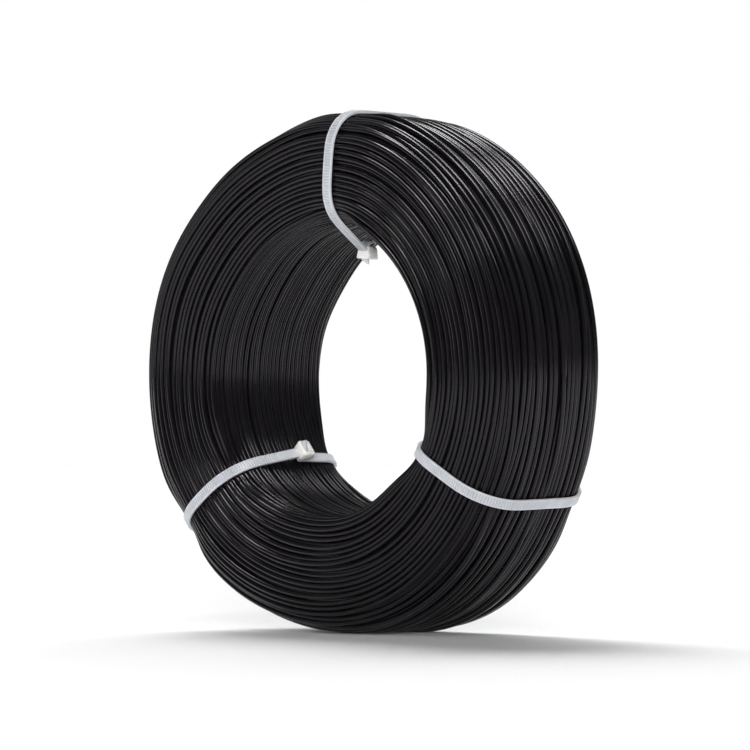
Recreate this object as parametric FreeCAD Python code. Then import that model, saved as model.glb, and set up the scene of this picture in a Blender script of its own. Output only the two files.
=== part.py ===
"""Refill coil of 1.75 mm printer filament, held together by three cable ties.

The coil stands on its rim. The row frame has its origin on the surface that
the coil stands on, below the middle of the coil: +X and +Z span the plane of
the turns and +Y runs along the bore, away from the front face.
"""
import FreeCAD, Part

import math
import os
from FreeCAD import Matrix, Vector

# Coil, in millimetres
FILAMENT_DIAMETER = 1.75
COIL_OUTER_DIAMETER = 182.0
BORE_DIAMETER = 102.0
COIL_WIDTH = 54.0
OUTER_CORNER_RADIUS = 12.5
INNER_CORNER_RADIUS = 3.0
REST_FLAT_DEPTH = 0.5

# Outer layer of turns
OUTER_TURNS = 17
TURN_PITCH = 3.0
LAYER_CLEARANCE = 0.1
EDGE_CLEARANCE = 0.25
LEAD_CLOCK = 150.0
LEAD_BEND_RADIUS = 3.0
POCKET_CLEARANCE = 0.25
LEAST_SELF_GAP = 0.4

# Turns that show on the faces and in the bore, as ridges round the core
RIDGE_PITCH = 1.88
RIDGE_CREST = 0.9
GROOVE_DEPTH = 1.2

# Cable tie strap
STRAP_WIDTH = 3.6
STRAP_THICKNESS = 1.2
STRAP_CLEARANCE = 0.25
STRAP_BEND_RADIUS = 1.6
TAIL_STUB = 1.8
TOOTH_PITCH = 1.0
NOTCH_HEIGHT = 0.75
NOTCH_DEPTH = 0.35
NOTCH_WIDTH = 2.4

# Cable tie head, with its slot towards the root and its pawl on the tail's side
HEAD_LENGTH = 5.6
HEAD_WIDTH = 6.4
HEAD_HEIGHT = 4.4
HEAD_EDGE_RADIUS = 0.5
HEAD_WALL = 0.9
SLOT_CLEARANCE = 0.1
ROOT_HEIGHT = 0.8
ROOT_OVERRUN = 0.6

# Pawl, in the head's own length and height
PAWL_WIDTH = 3.0
PAWL_SIDE_CLEARANCE = 0.1
PAWL_FACE_GAP = 0.15
PAWL_TOOTH_REACH = 0.15
PAWL_TOOTH_HEIGHT = 0.35
PAWL_TOOTH_LIFT = 0.08
PAWL_THICKNESS = 1.0
PAWL_TOP = 3.9
PAWL_FACE_FOOT = 1.9
PAWL_SHOULDER_HEIGHT = 1.45
PAWL_NECK = 0.56
HINGE_RADIUS = 0.45
HINGE_CLEARANCE = 0.05
HINGE_HEIGHT = 0.9
HINGE_SETBACK = 0.15
CAVITY_LENGTH = 2.0

# Each tie: clock angle on the front face, skew, head's place along the bore and its height off the bore wall
TIES = {
    "top": {"clock": 85.6, "skew": 1.7, "head_place": -4.8, "stand_off": 6.0},
    "left": {"clock": 216.5, "skew": -2.0, "head_place": 3.7, "stand_off": 3.8},
    "right": {"clock": -29.3, "skew": 2.0, "head_place": 6.0, "stand_off": 3.0},
}

# Sizes worked out from those above
COIL_RADIUS = COIL_OUTER_DIAMETER / 2
BORE_RADIUS = BORE_DIAMETER / 2
HALF_WIDTH = COIL_WIDTH / 2
WIRE_RADIUS = FILAMENT_DIAMETER / 2
AXIS_HEIGHT = COIL_RADIUS - REST_FLAT_DEPTH
LAYER_CORNER = OUTER_CORNER_RADIUS - WIRE_RADIUS
FLAT_HALF = HALF_WIDTH - OUTER_CORNER_RADIUS
BORE_HALF = HALF_WIDTH - INNER_CORNER_RADIUS
FACE_LENGTH = COIL_RADIUS - OUTER_CORNER_RADIUS - BORE_RADIUS - INNER_CORNER_RADIUS
LAYER_HALF = OUTER_TURNS * TURN_PITCH / 2
SLOT_LENGTH = STRAP_THICKNESS + 2 * SLOT_CLEARANCE
SLOT_START = -HEAD_LENGTH / 2 + HEAD_WALL
SLOT_END = SLOT_START + SLOT_LENGTH
TAIL_LINE = SLOT_START + SLOT_LENGTH / 2
TAIL_FACE = TAIL_LINE + STRAP_THICKNESS / 2
CAVITY_END = SLOT_END + CAVITY_LENGTH
HINGE_LINE = CAVITY_END + HINGE_SETBACK


def section_point(radial, axial):
    """Point of the section plane: X is the distance from the coil's axis, Y runs along it."""
    return Vector(radial, axial, 0)


def circle_point(centre, radius, degrees):
    """Point on a circle in the section plane, at an angle from the radial direction."""
    angle = math.radians(degrees)
    return centre + Vector(radius * math.cos(angle), radius * math.sin(angle), 0)


def arc_edge(centre, radius, start, end):
    """Arc in the section plane between two angles, in degrees."""
    middle = (start + end) / 2
    points = [circle_point(centre, radius, angle) for angle in (start, middle, end)]
    return Part.Arc(*points).toShape()


def line_edge(start, end):
    """Straight edge between two points."""
    return Part.LineSegment(start, end).toShape()


def mirrored(edge):
    """The same edge on the other side of the coil's middle plane, run the other way."""
    flip = Matrix()
    flip.scale(1, -1, 1)
    points = [edge.valueAt(edge.FirstParameter), edge.valueAt(edge.LastParameter)]
    middle = edge.valueAt((edge.FirstParameter + edge.LastParameter) / 2)
    points = [flip.multiply(point) for point in points]
    if isinstance(edge.Curve, Part.Circle):
        return Part.Arc(points[1], flip.multiply(middle), points[0]).toShape()
    return line_edge(points[1], points[0])


def extruded(edges, depth):
    """Solid of a closed outline in the section plane, as deep on either side of it."""
    face = Part.Face(Part.Wire(edges))
    face.translate(Vector(0, 0, -depth / 2))
    return face.extrude(Vector(0, 0, depth))


def polygon_solid(points, depth):
    """Solid of a closed polygon in the section plane."""
    edges = [line_edge(start, end) for start, end in zip(points, points[1:] + points[:1])]
    return extruded(edges, depth)


# Filament core

def contour_point(place, depth):
    """Point below the core's surface, at a length along it from the bore's middle round to the front face."""
    if place < BORE_HALF:
        return section_point(BORE_RADIUS + depth, -place)
    place -= BORE_HALF
    bend = INNER_CORNER_RADIUS * math.pi / 2
    inner_centre = section_point(BORE_RADIUS + INNER_CORNER_RADIUS, -BORE_HALF)
    if place < bend:
        angle = 180 + math.degrees(place / INNER_CORNER_RADIUS)
        return circle_point(inner_centre, INNER_CORNER_RADIUS - depth, angle)
    place -= bend
    if place < FACE_LENGTH:
        return section_point(inner_centre.x + place, -HALF_WIDTH + depth)
    angle = -90 + math.degrees((place - FACE_LENGTH) / OUTER_CORNER_RADIUS)
    outer_centre = section_point(COIL_RADIUS - OUTER_CORNER_RADIUS, -FLAT_HALF)
    return circle_point(outer_centre, OUTER_CORNER_RADIUS - depth, angle)


def ridge_points(length):
    """Corner points of the ridges, from the bore's middle to a length along the core's surface."""
    count = round(length / RIDGE_PITCH)
    pitch = length / count
    points = [contour_point(0, 0)]
    for ridge in range(count):
        points += [
            contour_point(ridge * pitch + RIDGE_CREST / 2, 0),
            contour_point((ridge + 0.5) * pitch, GROOVE_DEPTH),
            contour_point((ridge + 1) * pitch - RIDGE_CREST / 2, 0),
        ]
    return points + [contour_point(length, 0)]


def core_outline():
    """Half of the core's section, from the bore's middle over the front face to the middle plane."""
    outer_centre = section_point(COIL_RADIUS - OUTER_CORNER_RADIUS, -FLAT_HALF)
    seat_radius = OUTER_CORNER_RADIUS - FILAMENT_DIAMETER - LAYER_CLEARANCE
    last_turn = (LAYER_HALF - FLAT_HALF) / LAYER_CORNER
    step = math.pi / 2 - last_turn - (WIRE_RADIUS + EDGE_CLEARANCE) / LAYER_CORNER
    length = BORE_HALF + INNER_CORNER_RADIUS * math.pi / 2 + FACE_LENGTH + OUTER_CORNER_RADIUS * step
    points = ridge_points(length)
    edges = [line_edge(start, end) for start, end in zip(points, points[1:])]
    seat_angle = math.degrees(step) - 90
    seat_start = circle_point(outer_centre, seat_radius, seat_angle)
    seat_end = circle_point(outer_centre, seat_radius, 0)
    return edges + [
        line_edge(points[-1], seat_start),
        arc_edge(outer_centre, seat_radius, seat_angle, 0),
        line_edge(seat_end, section_point(seat_end.x, 0)),
    ]


def core():
    """The wound mass below the outer layer: a ring, ridged where it shows, pocketed for the layer's ends."""
    half = core_outline()
    outline = Part.Wire(half + [mirrored(edge) for edge in reversed(half)])
    ring = Part.Face(outline).revolve(Vector(), Vector(0, 1, 0), 360)
    ring.translate(Vector(0, 0, AXIS_HEIGHT))
    for side in (-1, 1):
        ring = ring.cut(lead_pocket(side))
    return ring


# Outer layer of turns

def layer_normal(place):
    """Outward direction of the layer's contour, in the section plane, at a length along the contour."""
    beyond = abs(place) - FLAT_HALF
    angle = max(beyond, 0) / LAYER_CORNER
    return Vector(math.cos(angle), math.copysign(math.sin(angle), place), 0)


def layer_section(place):
    """Centre of the wire in the section plane, at a length along the contour from its middle."""
    normal = layer_normal(place)
    axial = math.copysign(min(abs(place), FLAT_HALF), place)
    centre = section_point(COIL_RADIUS - OUTER_CORNER_RADIUS, axial)
    return centre + normal * LAYER_CORNER


def turned(vector, clock):
    """A section-plane vector at a clock angle, in degrees from +X towards +Z."""
    angle = math.radians(clock)
    return Vector(vector.x * math.cos(angle), vector.y, vector.x * math.sin(angle))


def layer_point(turns):
    """Centre of the wire after a number of turns from the front end."""
    section = layer_section(turns * TURN_PITCH - LAYER_HALF)
    return turned(section, LEAD_CLOCK + 360 * turns) + Vector(0, 0, AXIS_HEIGHT)


def layer_tangent(turns):
    """Direction of the wire after a number of turns."""
    step = 1e-4
    before = layer_point(max(turns - step, 0))
    after = layer_point(min(turns + step, OUTER_TURNS))
    return (after - before).normalize()


def tangent_arc(start, direction, end):
    """Arc from a start point and direction to an end point."""
    chord = end - start
    half = chord * 0.5
    angle = direction.getAngle(chord)
    across = direction - chord * (direction.dot(chord) / chord.dot(chord))
    middle = start + half + across.normalize() * (half.Length * math.tan(angle / 2))
    return Part.Arc(start, middle, end).toShape()


def biarc(start, start_direction, end, end_direction):
    """Two arcs that join two points and run along a direction at each."""
    chord = end - start
    total = start_direction + end_direction
    square = 2 * (1 - start_direction.dot(end_direction))
    mixed = chord.dot(total)
    reach = (-mixed + math.sqrt(mixed * mixed + square * chord.dot(chord))) / square
    middle = (start + end + (start_direction - end_direction) * reach) * 0.5
    joint = (middle - start - start_direction * reach).normalize()
    return [tangent_arc(start, start_direction, middle), tangent_arc(middle, joint, end)]


def lead_frame(side):
    """Where an end of the layer leaves its turn: point, way the turn runs there, and way into the core."""
    turns = 0 if side < 0 else OUTER_TURNS
    along = layer_tangent(turns) * side
    inward = turned(layer_normal(side * LAYER_HALF), LEAD_CLOCK) * -1
    inward = (inward - along * inward.dot(along)).normalize()
    return layer_point(turns), along, inward


def lead_points(side):
    """Deep end, foot of the bend, middle of the bend and turn's end of a lead."""
    point, along, inward = lead_frame(side)
    centre = point + inward * LEAD_BEND_RADIUS
    foot = centre + along * LEAD_BEND_RADIUS
    diagonal = (along - inward).normalize()
    return [foot + inward * FILAMENT_DIAMETER, foot, centre + diagonal * LEAD_BEND_RADIUS, point]


def lead_edges(side):
    """Straight end and bend of a lead, from the deep end outwards."""
    deep, foot, middle, point = lead_points(side)
    return [line_edge(deep, foot), Part.Arc(foot, middle, point).toShape()]


def lead_pocket(side):
    """Pocket in the core that an end of the layer dives into, square to the pocket's floor."""
    point, along, inward = lead_frame(side)
    across = along.cross(inward)
    reach = WIRE_RADIUS + POCKET_CLEARANCE
    low = point - along * WIRE_RADIUS - across * reach - inward * FILAMENT_DIAMETER
    length = along * (LEAD_BEND_RADIUS + reach + WIRE_RADIUS)
    depth = inward * (LEAD_BEND_RADIUS + 2 * FILAMENT_DIAMETER)
    corners = [low, low + length, low + length + depth, low + depth, low]
    return Part.Face(Part.makePolygon(corners)).extrude(across * (2 * reach))


def layer_path():
    """Centre line of the outer layer: a lead, half-turn biarcs, and the other lead."""
    edges = lead_edges(-1)
    for half_turn in range(2 * OUTER_TURNS):
        start = half_turn / 2
        end = start + 0.5
        edges += biarc(layer_point(start), layer_tangent(start), layer_point(end), layer_tangent(end))
    last_deep, last_foot, last_middle, last_point = lead_points(1)
    edges.append(Part.Arc(last_point, last_middle, last_foot).toShape())
    edges.append(line_edge(last_foot, last_deep))
    return Part.Wire(edges)


def self_gap(path):
    """Least gap between two stretches of the wire, from points spaced along its centre line."""
    spacing = 1.0
    points = path.discretize(Distance=spacing)
    bins = {}
    for index, point in enumerate(points):
        clock = math.atan2(point.z - AXIS_HEIGHT, point.x)
        bins.setdefault(round(math.degrees(clock)), []).append((index, point))
    apart = 4 * LEAD_BEND_RADIUS / spacing
    least = COIL_OUTER_DIAMETER
    for degree, members in bins.items():
        near = members + bins.get(degree + 1, [])
        for index, point in members:
            for other_index, other in near:
                if other_index - index > apart:
                    least = min(least, point.distanceToPoint(other))
    return least - FILAMENT_DIAMETER


def outer_layer():
    """One unbroken wire over the core, cut flat where the coil stands."""
    path = layer_path()
    deep, foot = lead_points(-1)[:2]
    profile = Part.Wire(Part.makeCircle(WIRE_RADIUS, deep, foot - deep))
    tube = path.makePipeShell([profile], True, False)
    expected = math.pi * WIRE_RADIUS ** 2 * path.Length
    gap = self_gap(path)
    share = tube.Volume / expected
    print(f"outer layer: {path.Length / 1000:.2f} m of wire, volume {share:.5f} of section x length")
    print(f"outer layer: least gap to itself {gap:.3f} mm, wanted over {LEAST_SELF_GAP} mm")
    below = Part.makeBox(COIL_OUTER_DIAMETER, COIL_OUTER_DIAMETER, COIL_RADIUS)
    below.translate(Vector(-COIL_RADIUS, -COIL_RADIUS, -COIL_RADIUS))
    return tube.cut(below)


# Cable ties

def head_point(tie, length, height):
    """Section-plane point from a place in the head: along its length and up from its underside."""
    radial = BORE_RADIUS - tie["stand_off"] - height
    return section_point(radial, tie["head_place"] + length)


def corner_vertex(start, side):
    """Where a run from the head, tangent to a bore corner's bend, meets the line along the face."""
    offset = STRAP_CLEARANCE + STRAP_THICKNESS / 2
    bend = INNER_CORNER_RADIUS + offset
    centre = section_point(BORE_RADIUS + INNER_CORNER_RADIUS, side * (HALF_WIDTH - INNER_CORNER_RADIUS))
    towards = centre - start
    heading = math.atan2(towards.y, towards.x) + side * math.asin(bend / towards.Length)
    face = side * (HALF_WIDTH + offset)
    run = (face - start.y) / math.sin(heading)
    return section_point(start.x + run * math.cos(heading), face)


def strap_route(tie):
    """Centre line of a strap as corner points with their bend radii, from the tail's tip to the root."""
    offset = STRAP_CLEARANCE + STRAP_THICKNESS / 2
    outer = COIL_RADIUS + offset
    face = HALF_WIDTH + offset
    bend = head_point(tie, TAIL_LINE, -STRAP_BEND_RADIUS)
    root = head_point(tie, -HEAD_LENGTH / 2, ROOT_HEIGHT)
    front = corner_vertex(root, -1)
    overrun = (root - front).normalize() * ROOT_OVERRUN
    return [
        (head_point(tie, TAIL_LINE, HEAD_HEIGHT + TAIL_STUB), 0),
        (bend, STRAP_BEND_RADIUS),
        (corner_vertex(bend, 1), INNER_CORNER_RADIUS + offset),
        (section_point(outer, face), OUTER_CORNER_RADIUS + offset),
        (section_point(outer, -face), OUTER_CORNER_RADIUS + offset),
        (front, INNER_CORNER_RADIUS + offset),
        (root + overrun, 0),
    ]


def meeting(point, direction, other_point, other_direction):
    """Where two lines in the section plane cross."""
    cross = direction.x * other_direction.y - direction.y * other_direction.x
    gap = other_point - point
    along = (gap.x * other_direction.y - gap.y * other_direction.x) / cross
    return point + direction * along


def offset_side(route, offset):
    """One side of a band: the route's corner points and bends moved over by an offset."""
    points = [point for point, radius in route]
    ways = [(after - before).normalize() for before, after in zip(points, points[1:])]
    sides = [Vector(way.y, -way.x, 0) * offset for way in ways]
    moved = [points[0] + sides[0]]
    radii = [0]
    for index in range(1, len(points) - 1):
        before, after = ways[index - 1], ways[index]
        corner = meeting(points[index] + sides[index - 1], before, points[index] + sides[index], after)
        turn = math.copysign(1, before.x * after.y - before.y * after.x)
        moved.append(corner)
        radii.append(route[index][1] + turn * offset)
    moved.append(points[-1] + sides[-1])
    radii.append(0)
    return list(zip(moved, radii))


def filleted(route):
    """Edges of a polyline whose corners are rounded by tangent arcs."""
    edges = []
    at = route[0][0]
    for (before, _), (corner, radius), (after, _) in zip(route, route[1:], route[2:]):
        back = (before - corner).normalize()
        ahead = (after - corner).normalize()
        half = back.getAngle(ahead) / 2
        reach = radius / math.tan(half)
        start = corner + back * reach
        end = corner + ahead * reach
        middle = corner + (back + ahead).normalize() * (radius / math.sin(half) - radius)
        edges.append(line_edge(at, start))
        edges.append(Part.Arc(start, middle, end).toShape())
        at = end
    edges.append(line_edge(at, route[-1][0]))
    return edges


def strap_band(tie):
    """The flat band of a strap, from its cut tail to just inside the head's root wall."""
    route = strap_route(tie)
    left = filleted(offset_side(route, STRAP_THICKNESS / 2))
    right = filleted(offset_side(route, -STRAP_THICKNESS / 2))
    caps = []
    for index in (0, -1):
        caps.append(line_edge(left[index].Vertexes[index].Point, right[index].Vertexes[index].Point))
    edges = Part.sortEdges(left + right + caps)[0]
    return extruded(edges, STRAP_WIDTH)


def notches(tie):
    """Cutters for the ladder of notches on the tail's outer face, from the head's foot to the stub."""
    first = PAWL_FACE_FOOT % TOOTH_PITCH
    count = int((HEAD_HEIGHT + TAIL_STUB - first) / TOOTH_PITCH)
    cutters = []
    for index in range(count):
        low = first + index * TOOTH_PITCH
        corners = [
            head_point(tie, TAIL_FACE - NOTCH_DEPTH, low),
            head_point(tie, TAIL_FACE + NOTCH_DEPTH, low),
            head_point(tie, TAIL_FACE + NOTCH_DEPTH, low + NOTCH_HEIGHT),
            head_point(tie, TAIL_FACE - NOTCH_DEPTH, low + NOTCH_HEIGHT),
        ]
        cutters.append(polygon_solid(corners, NOTCH_WIDTH))
    return cutters


def box_in_head(tie, lengths, heights, width):
    """Box in the head's own length and height, centred across its width."""
    corners = [
        head_point(tie, lengths[0], heights[0]),
        head_point(tie, lengths[1], heights[0]),
        head_point(tie, lengths[1], heights[1]),
        head_point(tie, lengths[0], heights[1]),
    ]
    return polygon_solid(corners, width)


def hinge_rod(tie, radius, width):
    """Round bar along the pawl's hinge line."""
    centre = head_point(tie, HINGE_LINE, HINGE_HEIGHT)
    return Part.makeCylinder(radius, width, centre - Vector(0, 0, width / 2), Vector(0, 0, 1))


def head(tie):
    """Head block with the strap's slot, the pawl's cavity and the round seat of the pawl's hinge."""
    block = box_in_head(tie, (-HEAD_LENGTH / 2, HEAD_LENGTH / 2), (0, HEAD_HEIGHT), HEAD_WIDTH)
    upright = [edge for edge in block.Edges if abs(edge.tangentAt(edge.FirstParameter).x) > 0.9]
    block = block.makeFillet(HEAD_EDGE_RADIUS, upright)
    through = (-HEAD_HEIGHT, 2 * HEAD_HEIGHT)
    cavity_width = PAWL_WIDTH + 2 * PAWL_SIDE_CLEARANCE
    slot = box_in_head(tie, (SLOT_START, SLOT_END), through, STRAP_WIDTH + 2 * SLOT_CLEARANCE)
    cavity = box_in_head(tie, (SLOT_END, CAVITY_END), through, cavity_width)
    seat = hinge_rod(tie, HINGE_RADIUS + HINGE_CLEARANCE, cavity_width)
    return block.cut([slot, cavity, seat]).removeSplitter()


def strap(tie, head_solid):
    """Strap with its notched tail through the head, cut flush where its root meets the head."""
    return strap_band(tie).cut(notches(tie) + [head_solid])


def pawl(tie):
    """Toothed pawl on its hinge root, leaning along the way the tail goes in."""
    face = TAIL_FACE + PAWL_FACE_GAP
    neck_low = HINGE_HEIGHT - PAWL_NECK / 2
    neck_high = HINGE_HEIGHT + PAWL_NECK / 2
    back = face + PAWL_THICKNESS
    outline = [
        (HINGE_LINE, neck_low),
        (face, PAWL_FACE_FOOT),
        (face, PAWL_TOP),
        (back, PAWL_TOP),
        (back + PAWL_THICKNESS / 2, PAWL_SHOULDER_HEIGHT),
        (HINGE_LINE, neck_high),
    ]
    body = polygon_solid([head_point(tie, *place) for place in outline], PAWL_WIDTH)
    body = body.fuse(hinge_rod(tie, HINGE_RADIUS, PAWL_WIDTH))
    low = PAWL_FACE_FOOT + PAWL_TOOTH_LIFT
    while low + PAWL_TOOTH_HEIGHT < PAWL_TOP:
        tooth = [
            (face, low),
            (face, low + PAWL_TOOTH_HEIGHT),
            (face - PAWL_FACE_GAP - PAWL_TOOTH_REACH, low + PAWL_TOOTH_HEIGHT),
        ]
        corners = [head_point(tie, *place) for place in tooth]
        body = body.fuse(polygon_solid(corners, NOTCH_WIDTH - 2 * SLOT_CLEARANCE))
        low += TOOTH_PITCH
    return body.removeSplitter()


def placed(tie, shape):
    """A tie piece moved from the section plane to its clock angle, with its skew about the radial line."""
    shape = shape.copy()
    shape.rotate(Vector(), Vector(1, 0, 0), tie["skew"])
    shape.rotate(Vector(), Vector(0, 1, 0), -tie["clock"])
    shape.translate(Vector(0, 0, AXIS_HEIGHT))
    return shape


def report_hinge(name, tie):
    """Print a pawl's hinge in the row frame: a positive turn lifts the teeth off the strap."""
    pivot = Part.Vertex(head_point(tie, HINGE_LINE, HINGE_HEIGHT))
    beyond = Part.Vertex(head_point(tie, HINGE_LINE, HINGE_HEIGHT) - Vector(0, 0, 1))
    start = placed(tie, pivot).Point
    axis = placed(tie, beyond).Point - start
    place = ", ".join(f"{value / 1000:.6f}" for value in start)
    way = ", ".join(f"{value:.6f}" for value in axis)
    print(f"tie {name}: hinge at {place} m, axis {way}")


def build():
    """Every sub-part by its node name."""
    parts = {"filament_core": core(), "filament_outer_layer": outer_layer()}
    for name, tie in TIES.items():
        head_solid = head(tie)
        parts[f"tie_{name}_strap"] = placed(tie, strap(tie, head_solid))
        parts[f"tie_{name}_head"] = placed(tie, head_solid)
        parts[f"tie_{name}_pawl"] = placed(tie, pawl(tie))
        report_hinge(name, tie)
    return parts


os.makedirs("parts", exist_ok=True)
for node, shape in build().items():
    solids = shape.Solids
    print(f"{node}: {len(solids)} solid, {shape.Volume:.1f} mm3, valid {shape.isValid()}")
    shape = solids[0] if len(solids) == 1 else shape
    shape.exportStep(f"parts/{node}.step")
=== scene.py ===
"""Looks of a filament refill coil: wound black printer filament held by three nylon cable ties.

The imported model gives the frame. Lengths are in metres. The coil stands on the
floor at z = 0, its axis runs along Y, and its front face looks towards -Y.
"""

import logging
import math
from dataclasses import dataclass
from enum import Enum

import bmesh
import bpy
import numpy as np
from mathutils import Matrix, Vector


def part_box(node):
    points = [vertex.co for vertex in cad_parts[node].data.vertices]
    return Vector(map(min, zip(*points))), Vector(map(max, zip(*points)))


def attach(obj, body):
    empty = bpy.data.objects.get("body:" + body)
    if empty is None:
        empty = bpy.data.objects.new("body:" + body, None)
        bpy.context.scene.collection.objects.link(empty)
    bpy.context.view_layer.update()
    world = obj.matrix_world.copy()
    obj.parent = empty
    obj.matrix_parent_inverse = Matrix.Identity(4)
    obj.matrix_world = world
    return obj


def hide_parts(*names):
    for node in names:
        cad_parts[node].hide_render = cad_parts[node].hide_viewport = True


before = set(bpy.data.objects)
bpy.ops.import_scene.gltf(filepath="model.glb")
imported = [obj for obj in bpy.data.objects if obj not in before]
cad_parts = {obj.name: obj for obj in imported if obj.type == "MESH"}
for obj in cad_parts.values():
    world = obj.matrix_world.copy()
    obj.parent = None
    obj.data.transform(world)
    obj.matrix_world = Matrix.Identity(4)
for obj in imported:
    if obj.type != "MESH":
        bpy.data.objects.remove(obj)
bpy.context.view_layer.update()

LOG = logging.getLogger("refill_coil")
MM = 0.001
COIL_BODY = "coil"
GROOVE = "groove"
SEED = 20
# A length too small to see, and one that is out of every tie's reach.
TINY = 0.01 * MM
FAR_OFF = 1.0
# Spreads after which a bell curve has run out.
BELL_REACH = 3
# A noise mask's middle range, over which colours and values blend.
MASK_LOW = 0.3
MASK_HIGH = 0.7
# Sockets of a colour Mix node, where sockets of other kinds have the same names.
MIX_SHARE = 0
MIX_FIRST = 6
MIX_SECOND = 7
MIX_RESULT = 2
WHITE = (1.0, 1.0, 1.0, 1.0)

Colour = tuple[float, float, float]


class Clock(Enum):
    """Where a tie sits, in degrees on the front face from +X towards +Z."""

    TOP = 85.6
    LEFT = 216.5
    RIGHT = -29.3


class Slot(Enum):
    """Material slots of the record."""

    FILAMENT = "filament"
    NYLON = "nylon"


def new_object(name: str, mesh: bpy.types.Mesh) -> bpy.types.Object:
    """Link a mesh to the scene under a name.

    Args:
        name: name of the piece.
        mesh: its mesh, already in the row frame.

    Returns:
        The object, at the origin.
    """
    made = bpy.data.objects.new(name, mesh)
    bpy.context.scene.collection.objects.link(made)
    return made


def mesh_from(name: str, form: bmesh.types.BMesh) -> bpy.types.Mesh:
    """Turn a bmesh into a mesh with outward faces, and free it.

    Args:
        name: name of the mesh.
        form: the bmesh.

    Returns:
        The mesh.
    """
    bmesh.ops.recalc_face_normals(form, faces=form.faces)
    mesh = bpy.data.meshes.new(name)
    form.to_mesh(mesh)
    form.free()
    return mesh


def shade_smooth(mesh: bpy.types.Mesh, crease: float) -> None:
    """Shade a mesh smooth but for edges that turn sharper than an angle in degrees."""
    mesh.polygons.foreach_set("use_smooth", [True] * len(mesh.polygons))
    mesh.set_sharp_from_angle(angle=math.radians(crease))


def dress(piece: bpy.types.Object, material: bpy.types.Material, body: str) -> None:
    """Give a new piece its material and the body that it rides on.

    Args:
        piece: the piece.
        material: its finish.
        body: name of the body.
    """
    piece.data.materials.clear()
    piece.data.materials.append(material)
    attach(piece, body)


def piece_from(
    name: str, form: bmesh.types.BMesh, crease: float, material: bpy.types.Material,
) -> bpy.types.Object:
    """Turn a bmesh into a dressed piece that rides on the coil.

    Args:
        name: name of the piece.
        form: the bmesh, already in the row frame.
        crease: edges that turn sharper than this angle in degrees show.
        material: its finish.

    Returns:
        The piece.
    """
    mesh = mesh_from(name, form)
    shade_smooth(mesh, crease)
    piece = new_object(name, mesh)
    dress(piece, material, COIL_BODY)
    return piece


def round_off(form: bmesh.types.BMesh, edges: list[bmesh.types.BMEdge], offset: float, segments: int) -> None:
    """Bevel edges of a bmesh.

    Args:
        form: the bmesh.
        edges: the edges.
        offset: width of the bevel.
        segments: faces across it.
    """
    bmesh.ops.bevel(
        form, geom=edges, offset=offset, segments=segments, profile=0.5, affect="EDGES", material=-1,
    )


class NodeSheet:
    """A node tree under construction, with short calls for its nodes and links."""

    def __init__(self, tree: bpy.types.NodeTree) -> None:
        """Take over a material's or group's node tree."""
        self.tree = tree

    def node(self, kind: str, **settings: object) -> bpy.types.Node:
        """Add a node.

        Args:
            kind: Blender's name of the node type.
            settings: attributes to set on it.

        Returns:
            The node.
        """
        made = self.tree.nodes.new(kind)
        for name, value in settings.items():
            setattr(made, name, value)
        return made

    def link(self, source: bpy.types.NodeSocket, target: bpy.types.NodeSocket) -> None:
        """Join two sockets."""
        self.tree.links.new(source, target)

    def math(self, operation: str, *values: object) -> bpy.types.NodeSocket:
        """Add a Math node.

        Args:
            operation: Blender's name of the operation.
            values: numbers or sockets, in order.

        Returns:
            Its output.
        """
        made = self.node("ShaderNodeMath", operation=operation)
        for socket, value in zip(made.inputs, values):
            if isinstance(value, bpy.types.NodeSocket):
                self.link(value, socket)
            else:
                socket.default_value = value
        return made.outputs[0]

    def raise_by(
        self, mask: bpy.types.NodeSocket, shader: bpy.types.Node, depth: float, strength: float,
    ) -> None:
        """Give a shader a relief.

        Args:
            mask: mask that is high where the surface is.
            shader: the shader.
            depth: height of the relief.
            strength: how strongly it shows.
        """
        bump = self.node("ShaderNodeBump")
        preset(bump, {"Strength": strength, "Distance": depth})
        self.link(mask, bump.inputs["Height"])
        self.link(bump.outputs["Normal"], shader.inputs["Normal"])


def preset(node: bpy.types.Node, values: dict[str, object]) -> None:
    """Set a node's inputs by their names."""
    for name, value in values.items():
        node.inputs[name].default_value = value


def new_material(name: str) -> tuple[bpy.types.Material, NodeSheet, bpy.types.Node]:
    """Make a material of nodes.

    Args:
        name: its name.

    Returns:
        The material, its sheet and its shader.
    """
    made = bpy.data.materials.new(name)
    made.use_nodes = True
    return made, NodeSheet(made.node_tree), made.node_tree.nodes["Principled BSDF"]


def new_group(name: str, inputs: dict[str, float], outputs: tuple[str, ...]) -> NodeSheet:
    """Make a node group with number sockets.

    Args:
        name: its name.
        inputs: default of each input.
        outputs: names of its outputs.

    Returns:
        Its sheet.
    """
    tree = bpy.data.node_groups.new(name, "ShaderNodeTree")
    for socket, value in inputs.items():
        made = tree.interface.new_socket(name=socket, in_out="INPUT", socket_type="NodeSocketFloat")
        made.default_value = value
    for socket in outputs:
        tree.interface.new_socket(name=socket, in_out="OUTPUT", socket_type="NodeSocketFloat")
    return NodeSheet(tree)


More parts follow.
